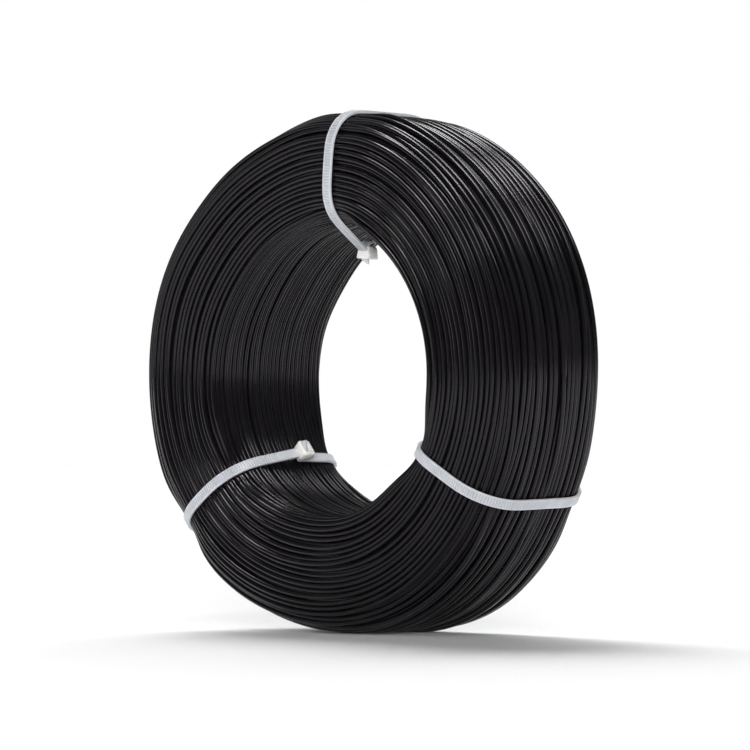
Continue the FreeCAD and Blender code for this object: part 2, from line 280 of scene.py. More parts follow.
class Effects:
    """Shader effects that several finishes share, each a node group that is built once."""

    @staticmethod
    def mottle() -> bpy.types.NodeTree:
        """Uneven tone of moulded plastic: a broad cloud and a fine grain, each as a mask.

        Returns:
            The group, with the masks Cloud and Grain.
        """
        found = bpy.data.node_groups.get("moulded mottle")
        if found:
            return found
        scales = {"Cloud Scale": 120.0, "Grain Scale": 2500.0}
        sheet = new_group("moulded mottle", scales, ("Cloud", "Grain"))
        entry = sheet.node("NodeGroupInput")
        leave = sheet.node("NodeGroupOutput")
        place = sheet.node("ShaderNodeTexCoord")
        for size, mask, detail in (("Cloud Scale", "Cloud", 3.0), ("Grain Scale", "Grain", 1.0)):
            noise = sheet.node("ShaderNodeTexNoise")
            preset(noise, {"Detail": detail})
            sheet.link(place.outputs["Object"], noise.inputs["Vector"])
            sheet.link(entry.outputs[size], noise.inputs["Scale"])
            sheet.link(noise.outputs["Fac"], leave.inputs[mask])
        return sheet.tree

    @staticmethod
    def drawn_streaks() -> bpy.types.NodeTree:
        """Lengthwise streaks of drawn filament, which run round the coil's axis.

        Returns:
            The group, with the masks Streak and Patch.
        """
        found = bpy.data.node_groups.get("drawn streaks")
        if found:
            return found
        scales = {"Axis Height": 0.09, "Across": 900.0, "Along": 9.0, "Patch Size": 0.25}
        sheet = new_group("drawn streaks", scales, ("Streak", "Patch"))
        entry = sheet.node("NodeGroupInput")
        leave = sheet.node("NodeGroupOutput")
        place = sheet.node("ShaderNodeTexCoord")
        parts = sheet.node("ShaderNodeSeparateXYZ")
        sheet.link(place.outputs["Object"], parts.inputs[0])
        up = sheet.math("SUBTRACT", parts.outputs["Z"], entry.outputs["Axis Height"])
        side_square = sheet.math("MULTIPLY", parts.outputs["X"], parts.outputs["X"])
        radius = sheet.math("SQRT", sheet.math("ADD", side_square, sheet.math("MULTIPLY", up, up)))
        run_x = sheet.math("DIVIDE", parts.outputs["X"], radius)
        run_z = sheet.math("DIVIDE", up, radius)
        fine = entry.outputs["Across"]
        broad = sheet.math("MULTIPLY", fine, entry.outputs["Patch Size"])
        for across, mask in ((fine, "Streak"), (broad, "Patch")):
            turn = sheet.node("ShaderNodeCombineXYZ")
            sheet.link(sheet.math("MULTIPLY", run_x, entry.outputs["Along"]), turn.inputs["X"])
            sheet.link(sheet.math("MULTIPLY", run_z, entry.outputs["Along"]), turn.inputs["Y"])
            sheet.link(sheet.math("MULTIPLY", radius, across), turn.inputs["Z"])
            noise = sheet.node("ShaderNodeTexNoise", noise_dimensions="4D")
            preset(noise, {"Scale": 1.0, "Detail": 2.0})
            sheet.link(turn.outputs[0], noise.inputs["Vector"])
            sheet.link(sheet.math("MULTIPLY", parts.outputs["Y"], across), noise.inputs["W"])
            sheet.link(noise.outputs["Fac"], leave.inputs[mask])
        return sheet.tree


def blended(sheet: NodeSheet, mask: bpy.types.NodeSocket, low: Colour, high: Colour) -> bpy.types.NodeSocket:
    """Colour between two as a mask goes over its middle range.

    Args:
        sheet: the material's node sheet.
        mask: mask from 0 to 1.
        low: colour at the low end.
        high: colour at the high end.

    Returns:
        The colour.
    """
    ramp = sheet.node("ShaderNodeValToRGB")
    for stop, place, colour in zip(ramp.color_ramp.elements, (MASK_LOW, MASK_HIGH), (low, high)):
        stop.position = place
        stop.color = (*colour, 1.0)
    sheet.link(mask, ramp.inputs[0])
    return ramp.outputs["Color"]


def ranged(sheet: NodeSheet, mask: bpy.types.NodeSocket, low: float, high: float) -> bpy.types.NodeSocket:
    """Value between two as a mask goes over its middle range.

    Args:
        sheet: the material's node sheet.
        mask: mask from 0 to 1.
        low: value at the low end.
        high: value at the high end.

    Returns:
        The value.
    """
    made = sheet.node("ShaderNodeMapRange")
    preset(made, {"From Min": MASK_LOW, "From Max": MASK_HIGH, "To Min": low, "To Max": high})
    sheet.link(mask, made.inputs["Value"])
    return made.outputs["Result"]


@dataclass(frozen=True)
class FilamentFinish:
    """Satin black extruded plastic.

    Attributes:
        name: name of the material.
        dark: darker colour of its streaks.
        light: lighter colour of its streaks.
        roughness: least and most roughness.
        gloss: strength of its plain reflections.
        gloss_tint: faint tint of those reflections.
        relief: height of the fine lengthwise relief.
        relief_strength: how strongly it shows.
    """

    name: str = "black filament"
    dark: Colour = (0.0032, 0.0027, 0.0033)
    light: Colour = (0.0065, 0.0057, 0.0067)
    roughness: tuple[float, float] = (0.17, 0.24)
    gloss: float = 0.32
    gloss_tint: Colour = (0.97, 0.93, 1.0)
    relief: float = 0.01 * MM
    relief_strength: float = 0.5

    def material(self, axis_height: float) -> bpy.types.Material:
        """Build the material.

        Args:
            axis_height: height of the coil's axis, which the streaks run round.

        Returns:
            The material.
        """
        made, sheet, shader = new_material(self.name)
        preset(shader, {"Specular IOR Level": self.gloss, "Specular Tint": (*self.gloss_tint, 1.0)})
        streaks = sheet.node("ShaderNodeGroup", node_tree=Effects.drawn_streaks())
        preset(streaks, {"Axis Height": axis_height})
        mottle = sheet.node("ShaderNodeGroup", node_tree=Effects.mottle())
        both = sheet.math("ADD", streaks.outputs["Patch"], mottle.outputs["Cloud"])
        mean = sheet.math("MULTIPLY", both, 0.5)
        sheet.link(blended(sheet, mean, self.dark, self.light), shader.inputs["Base Color"])
        sheet.link(ranged(sheet, streaks.outputs["Streak"], *self.roughness), shader.inputs["Roughness"])
        sheet.raise_by(streaks.outputs["Patch"], shader, self.relief, self.relief_strength)
        return made


@dataclass(frozen=True)
class NylonFinish:
    """Natural nylon, milky and slightly translucent.

    Attributes:
        name: name of the material.
        low: colour where the cloud is thin.
        high: colour where the cloud is thick.
        milk: share of light that scatters below the surface.
        depth: how far it scatters.
        painted_groove_shade: tone that paints shade at the bottom of a ladder's grooves by multiplying the
            colour there, if there is a ladder.
        roughness: least and most roughness.
        cloud_scale: how close the clouds are.
        grain_scale: how close the grain is.
        relief: height of the fine grain.
        relief_strength: how strongly it shows.
    """

    name: str
    low: Colour
    high: Colour
    milk: float
    depth: float
    painted_groove_shade: Colour | None = None
    roughness: tuple[float, float] = (0.38, 0.52)
    cloud_scale: float = 260.0
    grain_scale: float = 3200.0
    relief: float = 0.03 * MM
    relief_strength: float = 0.4

    def material(self) -> bpy.types.Material:
        """Build the material.

        Returns:
            The material.
        """
        made, sheet, shader = new_material(self.name)
        mottle = sheet.node("ShaderNodeGroup", node_tree=Effects.mottle())
        preset(mottle, {"Cloud Scale": self.cloud_scale, "Grain Scale": self.grain_scale})
        colour = blended(sheet, mottle.outputs["Cloud"], self.low, self.high)
        # Painted shade: the colour darkens towards the bottom of the ladder's grooves, as if shade fell
        # there.
        if self.painted_groove_shade:
            groove = sheet.node("ShaderNodeAttribute", attribute_name=GROOVE)
            shade = sheet.node("ShaderNodeMix", data_type="RGBA", blend_type="MULTIPLY")
            sheet.link(groove.outputs["Fac"], shade.inputs[MIX_SHARE])
            sheet.link(colour, shade.inputs[MIX_FIRST])
            shade.inputs[MIX_SECOND].default_value = (*self.painted_groove_shade, 1.0)
            colour = shade.outputs[MIX_RESULT]
        sheet.link(colour, shader.inputs["Base Color"])
        sheet.link(ranged(sheet, mottle.outputs["Grain"], *self.roughness), shader.inputs["Roughness"])
        preset(shader, {"Subsurface Weight": self.milk, "Subsurface Scale": self.depth})
        preset(shader, {"Subsurface Radius": (1.0, 1.0, 1.0)})
        sheet.raise_by(mottle.outputs["Grain"], shader, self.relief, self.relief_strength)
        return made


def run_lengths(points: np.ndarray) -> np.ndarray:
    """Distance of each point along a line of points."""
    return np.concatenate([[0.0], np.cumsum(np.linalg.norm(np.diff(points, axis=0), axis=1))])


def along(points: np.ndarray, runs: np.ndarray, spots: np.ndarray) -> np.ndarray:
    """Points at places along a line, from its own points and their places."""
    return np.stack([np.interp(spots, runs, points[:, axis]) for axis in (0, 1)], axis=1)


def unit_rows(rows: np.ndarray) -> np.ndarray:
    """Directions scaled to a length of 1."""
    return rows / np.linalg.norm(rows, axis=1, keepdims=True)


def unit(vector: np.ndarray) -> np.ndarray:
    """A direction scaled to a length of 1."""
    return vector / np.linalg.norm(vector)


def outward_rows(ways: np.ndarray) -> np.ndarray:
    """Directions out of the coil, from those of a line that runs round its section."""
    return np.stack([-ways[:, 1], ways[:, 0]], axis=1)


def bell(values: np.ndarray) -> np.ndarray:
    """Bell curve with a height of 1 at 0 and a spread of 1."""
    return np.exp(-0.5 * values ** 2)


def degrees_from(middle: float, clock: np.ndarray) -> np.ndarray:
    """Clock angles as measured from a middle one, from -180 to 180 degrees."""
    return (clock - middle + 180) % 360 - 180


@dataclass(frozen=True)
class CoilSizes:
    """Overall sizes of the coil, read from the frame.

    Attributes:
        outer_radius: from the axis to the outside of the outermost turns.
        bore_radius: from the axis to the bore wall.
        half_width: from the middle plane to a face.
        axis_height: height of the axis over the floor.
    """

    outer_radius: float
    bore_radius: float
    half_width: float
    axis_height: float

    @classmethod
    def from_frame(cls) -> "CoilSizes":
        """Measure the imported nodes.

        Returns:
            The sizes.
        """
        low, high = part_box("filament_outer_layer")
        outer = (high.x - low.x) / 2
        axis = high.z - outer
        wall = min(math.hypot(v.co.x, v.co.z - axis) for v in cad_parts["filament_core"].data.vertices)
        return cls(outer, wall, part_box("filament_core")[1].y, axis)


@dataclass(frozen=True)
class Contour:
    """Closed rounded outline in the section plane that a layer's turns are centred on.

    Attributes:
        sizes: the coil's sizes.
        inset: how far the outline lies below the coil's surface.
        outer_corner: radius of the coil's outer corners.
        inner_corner: radius of the coil's bore corners.
        least_corner: radius that a corner keeps however deep it lies.
        corner_points: points of each corner.
        tangent_share: share of the length over which a direction is taken, to either side.
    """

    sizes: CoilSizes
    inset: float
    outer_corner: float = 12.5 * MM
    inner_corner: float = 3.0 * MM
    least_corner: float = 0.2 * MM
    corner_points: int = 25
    tangent_share: float = 0.0025

    def corner(self, radial: float, axial: float, radius: float, start: float) -> np.ndarray:
        """Points of a quarter-round corner, clockwise from a start angle.

        Args:
            radial: distance of the corner's centre from the axis.
            axial: place of the centre along the axis.
            radius: radius of the coil's corner there.
            start: start angle in degrees.

        Returns:
            The points, as rows of radial and axial place.
        """
        angles = np.radians(np.linspace(start, start - 90, self.corner_points))
        reach = max(radius - self.inset, self.least_corner)
        return np.stack([radial + reach * np.cos(angles), axial + reach * np.sin(angles)], axis=1)

    def outline(self) -> np.ndarray:
        """Points of the closed outline from the outer middle over the front face, the bore and the back face.

        Returns:
            The points, as rows of radial and axial place.
        """
        outer = self.sizes.outer_radius - self.outer_corner
        inner = self.sizes.bore_radius + self.inner_corner
        side = self.sizes.half_width - self.outer_corner
        rim = self.sizes.half_width - self.inner_corner
        middle = np.array([[self.sizes.outer_radius - self.inset, 0.0]])
        return np.vstack([
            middle,
            self.corner(outer, -side, self.outer_corner, 0),
            self.corner(inner, -rim, self.inner_corner, -90),
            self.corner(inner, rim, self.inner_corner, -180),
            self.corner(outer, side, self.outer_corner, 90),
            middle,
        ])

    def length(self) -> float:
        """Length of the outline."""
        return float(np.linalg.norm(np.diff(self.outline(), axis=0), axis=1).sum())

    def at(self, shares: np.ndarray) -> tuple[np.ndarray, np.ndarray]:
        """Points and outward directions of the outline.

        Args:
            shares: places on the outline as shares of its length.

        Returns:
            Rows of points and rows of outward unit directions.
        """
        points = self.outline()
        runs = run_lengths(points)
        runs /= runs[-1]
        steps = (-self.tangent_share, 0.0, self.tangent_share)
        behind, here, ahead = (along(points, runs, (shares + step) % 1.0) for step in steps)
        return here, outward_rows(unit_rows(ahead - behind))


@dataclass(frozen=True)
class Lobe:
    """A shallow swelling or hollow of one of the coil's round edges.

    Attributes:
        clock: its middle, in degrees.
        spread: how far it spreads to either side, in degrees.
        front: how far the edge at the front face lies further from the axis there.
        back: the same at the back face.
    """

    clock: float
    spread: float
    front: float
    back: float

    def rise(self, clock: np.ndarray, back_share: np.ndarray) -> np.ndarray:
        """How far the lobe lifts the surface off the axis, at clock angles and shares of the way back."""
        height = bell(degrees_from(self.clock, clock) / self.spread)
        return height * (self.front + (self.back - self.front) * back_share)


RIM_LOBES = (
    Lobe(350, 14, 0.0, -2.5 * MM),
    Lobe(10, 12, 0.0, -0.7 * MM),
    Lobe(45, 18, -0.2 * MM, 0.3 * MM),
    Lobe(75, 12, 1.0 * MM, 0.2 * MM),
    Lobe(112, 13, -2.3 * MM, 0.2 * MM),
    Lobe(136, 9, -1.1 * MM, 0.0),
    Lobe(160, 15, 1.5 * MM, 0.0),
    Lobe(257, 15, -1.1 * MM, -2.0 * MM),
    Lobe(301, 14, 0.4 * MM, 2.8 * MM),
)
BORE_LOBES = (
    Lobe(15, 28, -1.2 * MM, -0.9 * MM),
    Lobe(82, 20, 1.9 * MM, 1.6 * MM),
    Lobe(142, 14, -1.0 * MM, -2.3 * MM),
    Lobe(176, 13, 0.0, -1.7 * MM),
    Lobe(205, 18, 1.1 * MM, -0.7 * MM),
    Lobe(262, 17, -1.0 * MM, -1.6 * MM),
    Lobe(320, 18, -0.6 * MM, 0.0),
)


def shaped(
    sizes: CoilSizes, ties: list["CableTie"], places: np.ndarray, clock: np.ndarray, depth: float,
) -> np.ndarray:
    """Move turns by the lobes of the rims and the bore, and press them down below the ties.

    Args:
        sizes: the coil's sizes.
        ties: the ties.
        places: radial and axial place of each point.
        clock: clock angle of each, in radians.
        depth: how far the points stay below a strap's inner face.

    Returns:
        The places.
    """
    degrees = np.degrees(clock)
    back = np.clip(0.5 + places[:, 1] / (2 * sizes.half_width), 0, 1)
    outward = np.clip((places[:, 0] - sizes.bore_radius) / (sizes.outer_radius - sizes.bore_radius), 0, 1)
    rim = sum(lobe.rise(degrees, back) for lobe in RIM_LOBES)
    bore = sum(lobe.rise(degrees, back) for lobe in BORE_LOBES)
    moved = places + np.stack([rim * outward + bore * (1 - outward), np.zeros(len(clock))], axis=1)
    for tie in ties:
        moved = tie.press(moved, clock, depth)
    return moved


@dataclass
class Winding:
    """The skin of turns that covers the whole coil: one wire, wound round the section's outline.

    Attributes:
        sizes: the coil's sizes.
        ties: the ties that press on the skin.
        wire_radius: radius of the wire.
        turns: number of turns in the skin.
        turn_points: points of the wire's line in each turn.
        start: clock angle of the wire's ends, below the top tie.
        drift: how far groups of turns wander along the surface.
        drift_reach: number of turns in such a group.
        bore_drift: share of the drift that is left in the bore.
        wander: how far single turns wander along the surface.
        wander_wave: shortest wave of it, in turns.
        heave: how far turns rise and sink.
        heave_wave: shortest wave of it, in turns.
        heave_reach: number of turns that rise and sink together.
        loose_clock: clock angle of the stretch where the outermost turns lie loosest.
        loose_spread: how far that stretch spreads to either side, in degrees.
        loose_wander: how far single turns wander there.
        rounds: rounds in which the turns settle.
        near_turns: how many turns further along the wire may touch a turn.
        smoothing: share of a kink that a round takes out.
        homing: share of the way back home that a round takes.
    """

    sizes: CoilSizes
    ties: list["CableTie"]
    wire_radius: float = 0.875 * MM
    turns: int = 90
    turn_points: int = 72
    start: float = Clock.TOP.value
    drift: float = 1.1 * MM
    drift_reach: float = 4.0
    bore_drift: float = 0.3
    wander: float = 0.13 * MM
    wander_wave: float = 0.45
    heave: float = 0.17 * MM
    heave_wave: float = 0.5
    heave_reach: float = 0.8
    loose_clock: float = 62.0
    loose_spread: float = 26.0
    loose_wander: float = 1.2 * MM
    rounds: int = 160
    near_turns: tuple[int, ...] = (1, 2, 3)
    smoothing: float = 0.25
    homing: float = 0.01

    def smooth_noise(self, draws: np.random.Generator, wavelength: float) -> np.ndarray:
        """Random values that change smoothly along the wire.

        Args:
            draws: source of random numbers.
            wavelength: shortest wave, in turns.

        Returns:
            One value for each point of the wire, with a spread of 1.
        """
        count = self.turns * self.turn_points
        spectrum = np.fft.rfft(draws.standard_normal(count))
        waves = np.arange(len(spectrum)) * wavelength * self.turn_points / count
        values = np.fft.irfft(spectrum * bell(waves), count)
        return values / values.std()

    def shared_noise(self, draws: np.random.Generator, clock: np.ndarray, reach: float) -> np.ndarray:
        """Random values that neighbouring turns share, and that change slowly round the coil.

        Args:
            draws: source of random numbers.
            clock: clock angle of each point, in radians.
            reach: number of turns over which the values change.

        Returns:
            One value for each point of the wire, with a spread of about 1.
        """
        total = self.smooth_noise(draws, reach)
        for wave in (1, 2, 3):
            total += self.smooth_noise(draws, reach) * np.cos(wave * clock)
            total += self.smooth_noise(draws, reach) * np.sin(wave * clock)
        return total / 2

    def settle(self, home: np.ndarray) -> np.ndarray:
        """Push turns that overlap apart, until they lie beside or on each other.

        Args:
            home: radial and axial place of each point, which the turns are drawn back to.

        Returns:
            The settled places.
        """
        places = home
        apart = 2 * self.wire_radius + TINY
        for _ in range(self.rounds):
            for turns in self.near_turns:
                lag = turns * self.turn_points
                gap = np.roll(places, -lag, axis=0) - places
                distance = np.linalg.norm(gap, axis=1, keepdims=True)
                push = gap / distance * np.maximum(apart - distance, 0) / 2
                places = places - push + np.roll(push, lag, axis=0)
            smooth = (np.roll(places, 1, axis=0) + np.roll(places, -1, axis=0)) / 2
            places = places + self.smoothing * (smooth - places) + self.homing * (home - places)
        return places

    def line(self) -> np.ndarray:
        """Centre line of the whole wire, as one closed run of points.

        Returns:
            Rows of points in the row frame.
        """
        draws = np.random.default_rng(SEED)
        contour = Contour(self.sizes, self.wire_radius)
        count = self.turns * self.turn_points
        steps = np.arange(count)
        clock = math.radians(self.start) + 2 * math.pi * steps / self.turn_points
        outward = contour.at(steps / count)[1]
        outermost = (1 + outward[:, 0]) / 2
        loose = outermost ** 3 * bell(degrees_from(self.loose_clock, np.degrees(clock)) / self.loose_spread)
        share = self.bore_drift + (1 - self.bore_drift) * outermost
        drift = self.drift * share * self.shared_noise(draws, clock, self.drift_reach)
        wander = (self.wander + self.loose_wander * loose) * self.smooth_noise(draws, self.wander_wave)
        moved, moved_out = contour.at(steps / count + (drift + wander) / contour.length())
        single = self.heave * self.smooth_noise(draws, self.heave_wave)
        heave = single + self.heave * self.shared_noise(draws, clock, self.heave_reach)
        home = moved + moved_out * heave[:, None]
        places = shaped(self.sizes, self.ties, self.settle(home), clock, self.wire_radius)
        return self.in_frame(places, clock)

    def in_frame(self, places: np.ndarray, clock: np.ndarray) -> np.ndarray:
        """Points in the row frame of places in the section plane.

        Args:
            places: radial and axial place of each point.
            clock: clock angle of each, in radians.

        Returns:
            Rows of points, none lower than a wire on the floor.
        """
        # The spline of a turn runs inside its control points by this share.
        spline_shrink = (2 + math.cos(2 * math.pi / self.turn_points)) / 3
        radial = places[:, 0] / spline_shrink
        limit = self.sizes.outer_radius - self.wire_radius
        x = np.clip(radial * np.cos(clock), -limit, limit)
        z = np.maximum(self.sizes.axis_height + radial * np.sin(clock), self.wire_radius)
        return np.stack([x, places[:, 1], z], axis=1)

    def tube(self, name: str, points: np.ndarray) -> bpy.types.Object:
        """A run of wire as a round tube with closed ends.

        Args:
            name: name of the piece.
            points: its line.

        Returns:
            The piece.
        """
        curve = bpy.data.curves.new(f"{name}_line", "CURVE")
        curve.dimensions = "3D"
        curve.bevel_depth = self.wire_radius
        curve.bevel_resolution = 4
        curve.resolution_u = 3
        curve.use_fill_caps = True
        spline = curve.splines.new("NURBS")
        spline.points.add(len(points) - 1)
        spline.points.foreach_set("co", np.column_stack([points, np.ones(len(points))]).ravel())
        spline.order_u = 4
        spline.use_endpoint_u = True
        holder = bpy.data.objects.new(f"{name}_line", curve)
        mesh = bpy.data.meshes.new_from_object(holder)
        mesh.name = name
        bpy.data.objects.remove(holder)
        bpy.data.curves.remove(curve)
        return new_object(name, mesh)

    def build(self, material: bpy.types.Material) -> list[bpy.types.Object]:
        """The skin as three runs of the one wire, which meet below the top tie.

        Args:
            material: the filament's finish.

        Returns:
            The pieces.
        """
        line = self.line()
        third = len(line) // 3
        pieces = []
        for order, name in enumerate(("winding_front_turns", "winding_bore_turns", "winding_back_turns")):
            run = np.take(line, range(order * third, (order + 1) * third + 1), axis=0, mode="wrap")
            piece = self.tube(name, run)
            dress(piece, material, COIL_BODY)
            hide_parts("filament_outer_layer", "filament_core")
            pieces.append(piece)
        return pieces


@dataclass
class UnderTurns:
    """The next layer of turns, which shows in the gaps of the skin.

    Attributes:
        sizes: the coil's sizes.
        ties: the ties that press on the skin.
        wire_radius: radius of the wire.
        turns: number of turns round the section.
        inset: how far the turns' middles lie below the coil's surface, in wire radii.
        rib_angles: where the points of a turn's round top lie, in degrees from its middle.
        steps: steps round the coil.
        least_cover: depth of its surface below a strap's inner face.
        floor_gap: least height of its surface over the floor, in wire radii.
        crease: edges that turn sharper than this show, in degrees.
    """

    sizes: CoilSizes
    ties: list["CableTie"]
    wire_radius: float = 0.875 * MM
    turns: int = 84
    inset: float = 2.75
    rib_angles: tuple[float, ...] = (-54.0, 0.0, 54.0)
    steps: int = 240
    least_cover: float = 1.6 * MM
    floor_gap: float = 1.2
    crease: float = 80.0

    def build(self, material: bpy.types.Material) -> bpy.types.Object:
        """Spin the ribbed section round the axis.

        Args:
            material: the filament's finish.

        Returns:
            The piece.
        """
        contour = Contour(self.sizes, self.inset * self.wire_radius)
        shares = (np.arange(self.turns) + 0.5) / self.turns
        centres, outward = contour.at(shares)
        form = bmesh.new()
        ring = []
        for centre, way in zip(centres, outward):
            heading = math.atan2(way[1], way[0])
            for angle in self.rib_angles:
                turn = heading - math.radians(angle)
                radial = centre[0] + self.wire_radius * math.cos(turn)
                axial = centre[1] + self.wire_radius * math.sin(turn)
                ring.append(form.verts.new((radial, axial, self.sizes.axis_height)))
        edges = [form.edges.new(pair) for pair in zip(ring, ring[1:] + ring[:1])]
        bmesh.ops.spin(
            form, geom=ring + edges, cent=(0, 0, self.sizes.axis_height), axis=(0, 1, 0),
            angle=2 * math.pi, steps=self.steps, use_merge=True,
        )
        bmesh.ops.remove_doubles(form, verts=form.verts, dist=TINY)
        spots = np.array([vertex.co for vertex in form.verts])
        height = spots[:, 2] - self.sizes.axis_height
        clock = np.arctan2(height, spots[:, 0])
        places = np.stack([np.hypot(spots[:, 0], height), spots[:, 1]], axis=1)
        places = shaped(self.sizes, self.ties, places, clock, self.least_cover)
        lowest = self.floor_gap * self.wire_radius
        for vertex, place, angle in zip(form.verts, places, clock):
            up = max(self.sizes.axis_height + place[0] * math.sin(angle), lowest)
            vertex.co = (place[0] * math.cos(angle), place[1], up)
        piece = piece_from("winding_under_turns", form, self.crease, material)
        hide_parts("filament_core")
        return piece


@dataclass
class CableTie:
    """One tie: a strap round the section with its ladder of teeth, and its head in the bore.

    Attributes:
        sizes: the coil's sizes.
        clock: where it sits.
        skew: lean about the radial line, in degrees.
        head_place: the head's place along the bore.
        stand_off: height of the head's underside over the bore wall.
        width: strap's width.
        thickness: strap's thickness.
        clearance: gap between strap and coil.
        tail_stub: how far the trimmed tail stands out of the head.
        front_bend: bend at the front face's outer edge.
        front_rim_bend: bend at the front bore rim.
        front_rim_shift: how far that rim lies further from the axis.
        back_bend: bend at the back face's outer edge.
        back_rim_bend: bend at the back bore rim.
        tail_bend: bend of the tail below the head.
        ease: distance over which bends run out.
        path_step: distance between points of the strap's path.
        wall_reach: how far inside the bore the strap still counts as lying on the coil.
        tip_slope: slope of the tail's slanting cut.
        press_half: how far to either side turns are pressed fully down.
        press_ease: how far beyond that they rise again.
        press_gap: gap between strap and pressed turns.
        least_hold: share of the press below which it is left out.
        tooth_pitch: distance between the ladder's teeth.
        tooth_depth: depth of its grooves.
        crest_depth: depth of its teeth's tops.
        ladder_half: half the ladder's width.
        ladder_side: width of the slope from its rails down to the grooves.
        smooth_root: length at the head that has no teeth.
        root_stations: places along that length.
        edge: bevel of the strap's long edges.
        strap_crease: edges of the strap that turn sharper than this show, in degrees.
        head_length: head's size along the bore.
        head_width: its size across the strap.
        head_height: its size off the wall.
        head_taper: size of its base as a share of its top.
        head_corner: bevel of its upright corners.
        head_rim: bevel of its top and base.
        rim_angle: edges of its top and base that turn sharper than this are bevelled, in degrees.
        head_crease: its edges that turn sharper than this show, in degrees.
        head_wall: wall at the slot's end.
        slot_length: slot's size along the bore.
        slot_half: half the slot's width.
        cavity_length: pawl cavity's size along the bore.
        cavity_half: half the cavity's width.
        root_height: height of the strap's root over the head's base.
    """

    sizes: CoilSizes
    clock: Clock
    skew: float
    head_place: float
    stand_off: float
    width: float = 3.6 * MM
    thickness: float = 1.2 * MM
    clearance: float = 0.25 * MM
    tail_stub: float = 1.8 * MM
    front_bend: float = 14.5 * MM
    front_rim_bend: float = 5.0 * MM
    front_rim_shift: float = 0.0
    back_bend: float = 13.5 * MM
    back_rim_bend: float = 4.0 * MM
    tail_bend: float = 1.6 * MM
    ease: float = 3.2 * MM
    path_step: float = 0.4 * MM
    wall_reach: float = 1.9 * MM
    tip_slope: float = 0.55
    press_half: float = 3.0 * MM
    press_ease: float = 6.0 * MM
    press_gap: float = 0.12 * MM
    least_hold: float = 0.01
    tooth_pitch: float = 1.0 * MM
    tooth_depth: float = 0.45 * MM
    crest_depth: float = 0.06 * MM
    ladder_half: float = 1.3 * MM
    ladder_side: float = 0.08 * MM
    smooth_root: float = 9.0 * MM
    root_stations: int = 12
    edge: float = 0.22 * MM
    strap_crease: float = 28.0
    head_length: float = 5.6 * MM
    head_width: float = 6.4 * MM
    head_height: float = 4.4 * MM
    head_taper: float = 0.86
    head_corner: float = 1.1 * MM
    head_rim: float = 0.7 * MM
    rim_angle: float = 60.0
    head_crease: float = 35.0
    head_wall: float = 0.9 * MM
    slot_length: float = 1.4 * MM
    slot_half: float = 1.9 * MM
    cavity_length: float = 2.0 * MM
    cavity_half: float = 1.6 * MM
    root_height: float = 0.8 * MM

    @property
    def label(self) -> str:
        """The tie's name, as the nodes have it."""
        return self.clock.name.lower()

    def placing(self) -> Matrix:
        """Place of the tie's section plane.

        Returns:
            Matrix from that plane, with X from the axis and Y along it, to the row frame.
        """
        lift = Matrix.Translation((0, 0, self.sizes.axis_height))
        turn = Matrix.Rotation(math.radians(-self.clock.value), 4, "Y")
        return lift @ turn @ Matrix.Rotation(math.radians(self.skew), 4, "X")

    def head_placing(self) -> Matrix:
        """Place of the head.

        Returns:
            Matrix from the head's own length, width and height to the row frame.
        """
        radial = self.sizes.bore_radius - self.stand_off
        axes = Matrix(((0, 0, -1, radial), (1, 0, 0, self.head_place), (0, -1, 0, 0), (0, 0, 0, 1)))
        return self.placing() @ axes

    def head_spot(self, length: float, height: float) -> np.ndarray:
        """Section-plane point from a length and height in the head."""
        return np.array([self.sizes.bore_radius - self.stand_off - height, self.head_place + length])

    def rim_vertex(self, start: np.ndarray, side: int) -> np.ndarray:
        """Corner point of the route at a bore rim, from a start in the bore.

        Args:
            start: section-plane point that the strap leaves.
            side: -1 for the front rim, 1 for the back rim.

        Returns:
            The corner point.
        """
        offset = self.clearance + self.thickness / 2
        corner = self.front_rim_bend if side < 0 else self.back_rim_bend
        shift = self.front_rim_shift if side < 0 else 0.0
        bend = corner + offset
        centre = np.array([self.sizes.bore_radius + shift + corner, side * (self.sizes.half_width - corner)])
        towards = centre - start
        heading = math.atan2(towards[1], towards[0]) + side * math.asin(bend / np.linalg.norm(towards))
        face = side * (self.sizes.half_width + offset)
        run = (face - start[1]) / math.sin(heading)
        return np.array([start[0] + run * math.cos(heading), face])

    def route(self) -> list[tuple[np.ndarray, float]]:
        """Corners of the strap's centre line, from the tail's tip to the root.

        Returns:
            Section-plane points with the radius of the bend at each.
        """
        offset = self.clearance + self.thickness / 2
        outer = self.sizes.outer_radius + offset
        face = self.sizes.half_width + offset
        tail_line = -self.head_length / 2 + self.head_wall + self.slot_length / 2
        bend = self.head_spot(tail_line, -self.tail_bend)
        root = self.head_spot(-self.head_length / 2, self.root_height)
        front = self.rim_vertex(root, -1)
        return [
            (self.head_spot(tail_line, self.head_height + self.tail_stub), 0.0),
            (bend, self.tail_bend),
            (self.rim_vertex(bend, 1), self.back_rim_bend + offset),
            (np.array([outer, face]), self.back_bend + offset),
            (np.array([outer, -face]), self.front_bend + offset),
            (front, self.front_rim_bend + offset),
            (root + unit(root - front) * self.head_wall / 2, 0.0),
        ]

